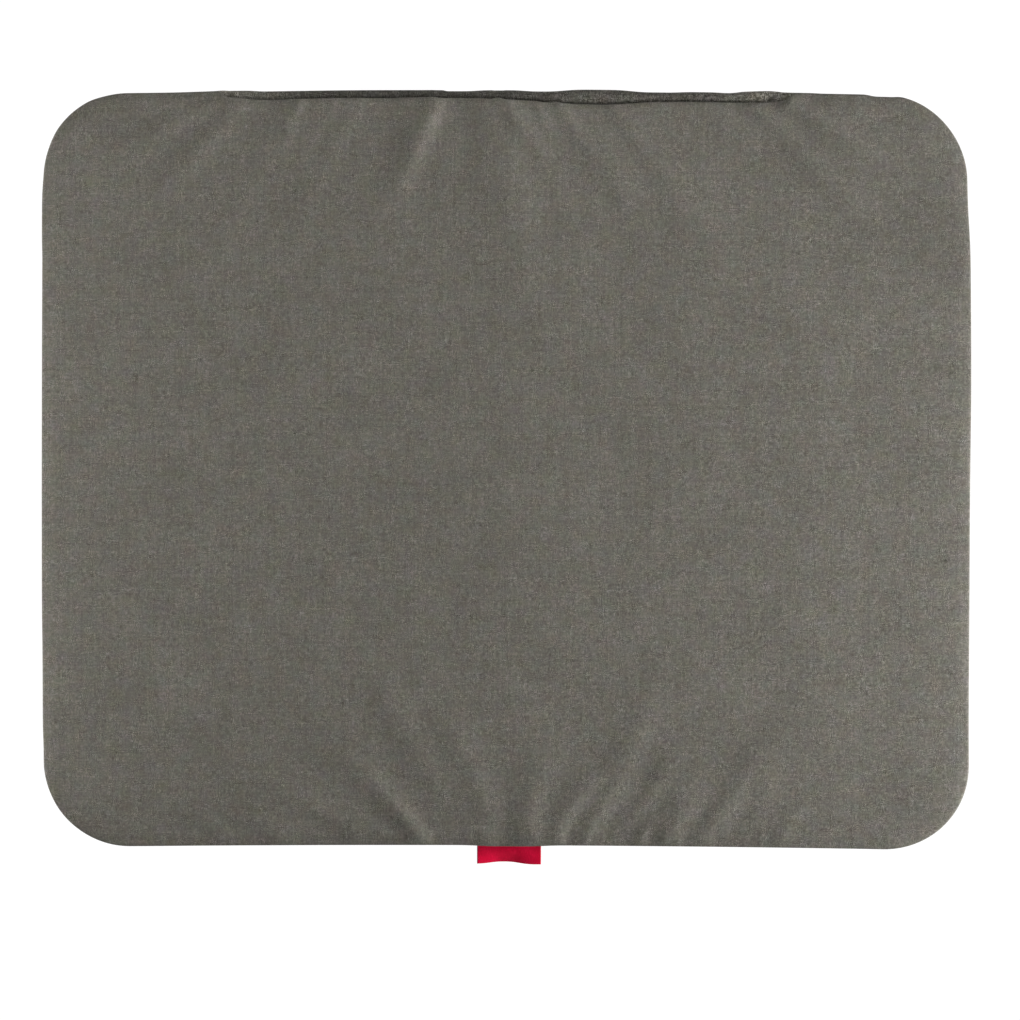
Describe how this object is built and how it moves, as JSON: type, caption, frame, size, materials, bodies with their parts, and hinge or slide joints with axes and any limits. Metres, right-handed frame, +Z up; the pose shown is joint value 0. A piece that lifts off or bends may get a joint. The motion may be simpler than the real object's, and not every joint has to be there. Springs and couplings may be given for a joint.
{
  "type": "heat press mat",
  "caption": "Flat padded mat in a sewn woven cloth cover with rounded corners, a lapped opening along its back edge and a ribbon tag, laid under a garment to hold heat while pressing.",
  "frame": {"origin": "middle of the underside, on the surface that the mat lies on", "axes": "+X to the right along the width, +Y to the back edge with the opening, +Z up out of the pressing face"},
  "size_m": [0.508, 0.4222, 0.0132],
  "materials": {
    "cover_cloth": "heathered woven cloth with a faint metallic glint",
    "facing_cloth": "darker woven cloth of the same kind",
    "closure_loop": "brushed loop pile",
    "closure_hook": "rows of moulded hooks",
    "liner_felt": "needled felt",
    "membrane_foil": "crinkled foil",
    "core_foam": "closed-cell silicone sponge",
    "tag_ribbon": "crimson satin ribbon"
  },
  "bodies": {
    "cover": {"bottom_panel": "cover_cloth", "top_panel": "cover_cloth", "opening_facing": "facing_cloth", "hook_tape": "closure_hook", "wicking_liner": "liner_felt", "foil_membrane": "membrane_foil", "foam_core": "core_foam"},
    "lip": {"opening_lip": "cover_cloth", "loop_tape": "closure_loop"},
    "tag": {"ribbon_tag": "tag_ribbon"}
  },
  "joints": [
    {"name": "lip_lift", "type": "hinge", "parent": "cover", "child": "lip", "pos_m": [0, 0.1709, 0.0125], "axis": [1, 0, 0], "range_deg": [0, 110]},
    {"name": "tag_flip", "type": "hinge", "parent": "cover", "child": "tag", "pos_m": [0.0017, -0.20595, 0.00625], "axis": [-1, 0, 0], "range_deg": [-8, 80], "stiffness_Nm_per_rad": 0.0005}
  ]
}
